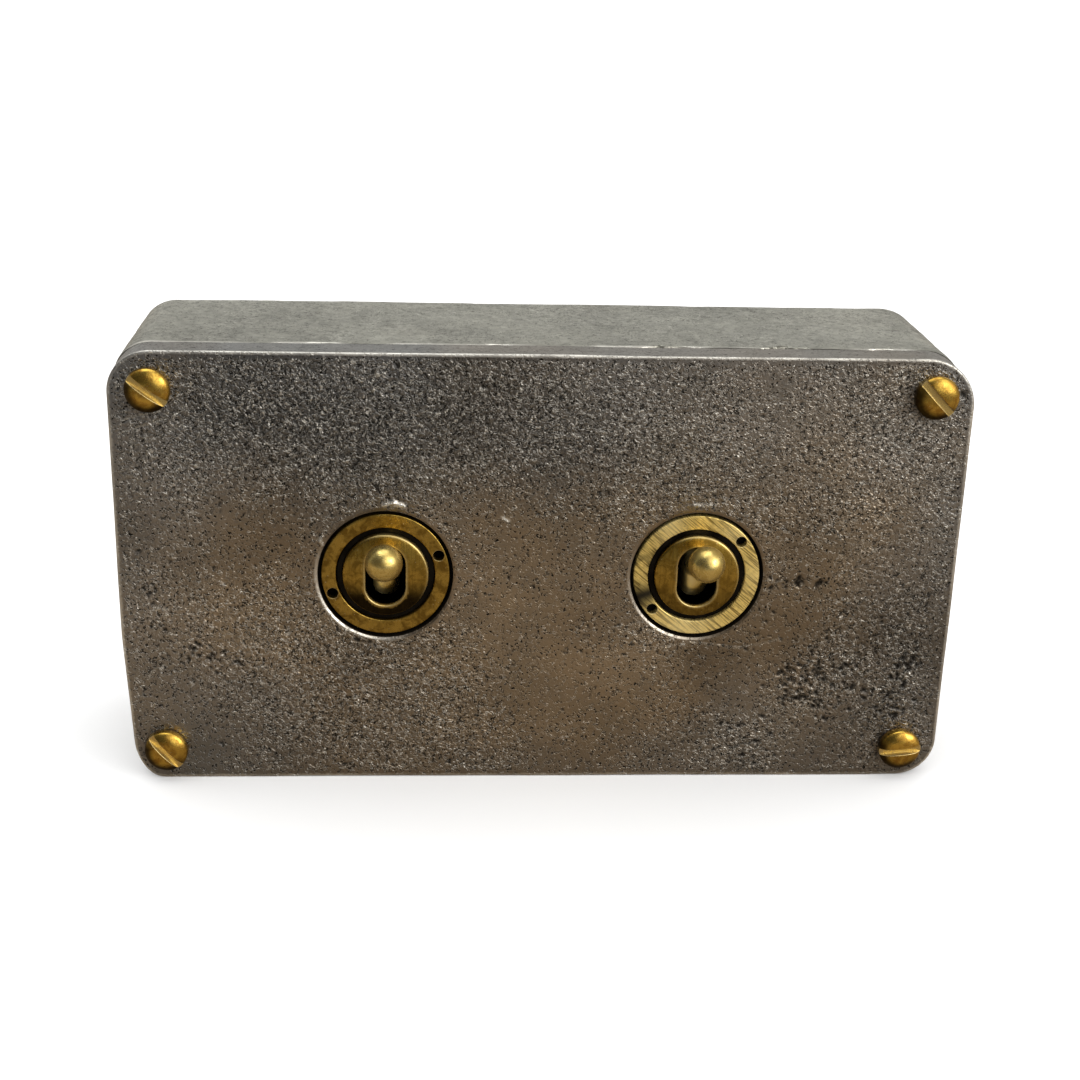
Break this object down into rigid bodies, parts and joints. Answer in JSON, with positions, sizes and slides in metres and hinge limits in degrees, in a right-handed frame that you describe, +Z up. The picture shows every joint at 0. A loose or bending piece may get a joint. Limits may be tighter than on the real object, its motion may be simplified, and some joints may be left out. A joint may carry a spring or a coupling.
{
  "type": "toggle wall switch",
  "caption": "Surface-mounted cast-metal switch box with ball-ended brass toggle dollies in ring nuts and slotted brass plate screws.",
  "frame": {"origin": "centre of the flat rear face that lies against the wall", "axes": "+X to the right seen from the front, +Y into the wall, +Z up"},
  "size_m": [0.146, 0.0527, 0.0786],
  "materials": {
    "cast_metal": "pitted sand casting, worn bright on its edges",
    "antique_brass": "aged brass, brushed, with darker patina in its corners",
    "bright_brass": "polished brass with light scratches",
    "black_metal": "blackened metal, satin",
    "black_moulding": "moulded thermoset, matt",
    "nylon": "natural nylon, waxy",
    "steel": "plain zinc-plated steel",
    "copper": "rolled copper alloy strip",
    "rubber": "moulded black rubber, matt"
  },
  "bodies": {
    "case": {"back_box": "cast_metal", "front_plate": "cast_metal", "cable_grommet_upper": "rubber", "cable_grommet_lower": "rubber", "earth_terminal": "bright_brass", "earth_screw": "bright_brass", "plate_screw_top_left": "bright_brass", "plate_screw_top_right": "bright_brass", "plate_screw_bottom_left": "bright_brass", "plate_screw_bottom_right": "bright_brass", "ring_nut_left": "antique_brass", "lock_washer_left": "steel", "threaded_bush_left": "black_metal", "dolly_escutcheon_left": "antique_brass", "switch_housing_left": "black_moulding", "terminal_base_left": "black_moulding", "terminal_common_left": "bright_brass", "terminal_upper_left": "bright_brass", "terminal_lower_left": "bright_brass", "terminal_screw_common_left": "steel", "terminal_screw_upper_left": "steel", "terminal_screw_lower_left": "steel", "housing_rivet_upper_left": "steel", "housing_rivet_lower_left": "steel", "pivot_pin_left": "steel", "ring_nut_right": "antique_brass", "lock_washer_right": "steel", "threaded_bush_right": "black_metal", "dolly_escutcheon_right": "antique_brass", "switch_housing_right": "black_moulding", "terminal_base_right": "black_moulding", "terminal_common_right": "bright_brass", "terminal_upper_right": "bright_brass", "terminal_lower_right": "bright_brass", "terminal_screw_common_right": "steel", "terminal_screw_upper_right": "steel", "terminal_screw_lower_right": "steel", "housing_rivet_upper_right": "steel", "housing_rivet_lower_right": "steel", "pivot_pin_right": "steel"},
    "dolly_left": {"dolly_left": "antique_brass", "detent_spring_left": "steel"},
    "plunger_left": {"plunger_left": "nylon"},
    "rocker_left": {"rocker_contact_left": "copper"},
    "dolly_right": {"dolly_right": "antique_brass", "detent_spring_right": "steel"},
    "plunger_right": {"plunger_right": "nylon"},
    "rocker_right": {"rocker_contact_right": "copper"}
  },
  "joints": [
    {"name": "toggle_left", "type": "hinge", "parent": "case", "child": "dolly_left", "pos_m": [-0.02725, -0.034, 0], "axis": [1, 0, 0], "range_deg": [0, 42]},
    {"name": "plunger_slide_left", "type": "slide", "parent": "dolly_left", "child": "plunger_left", "axis": [0, 0.9336, -0.3584], "range_m": [-0.001, 0], "stiffness_N_per_m": 400, "springref_m": 0.003, "deforming": ["detent_spring_left"]},
    {"name": "rocker_tilt_left", "type": "hinge", "parent": "case", "child": "rocker_left", "pos_m": [-0.02725, -0.019, 0], "axis": [1, 0, 0], "range_deg": [-16.8, 0]},
    {"name": "toggle_right", "type": "hinge", "parent": "case", "child": "dolly_right", "pos_m": [0.02725, -0.034, 0], "axis": [1, 0, 0], "range_deg": [0, 42]},
    {"name": "plunger_slide_right", "type": "slide", "parent": "dolly_right", "child": "plunger_right", "axis": [0, 0.9336, -0.3584], "range_m": [-0.001, 0], "stiffness_N_per_m": 400, "springref_m": 0.003, "deforming": ["detent_spring_right"]},
    {"name": "rocker_tilt_right", "type": "hinge", "parent": "case", "child": "rocker_right", "pos_m": [0.02725, -0.019, 0], "axis": [1, 0, 0], "range_deg": [-16.8, 0]}
  ],
  "couplings": [
    {"joint": "rocker_tilt_left", "follows": "toggle_left", "ratio": -0.4},
    {"joint": "rocker_tilt_right", "follows": "toggle_right", "ratio": -0.4}
  ]
}
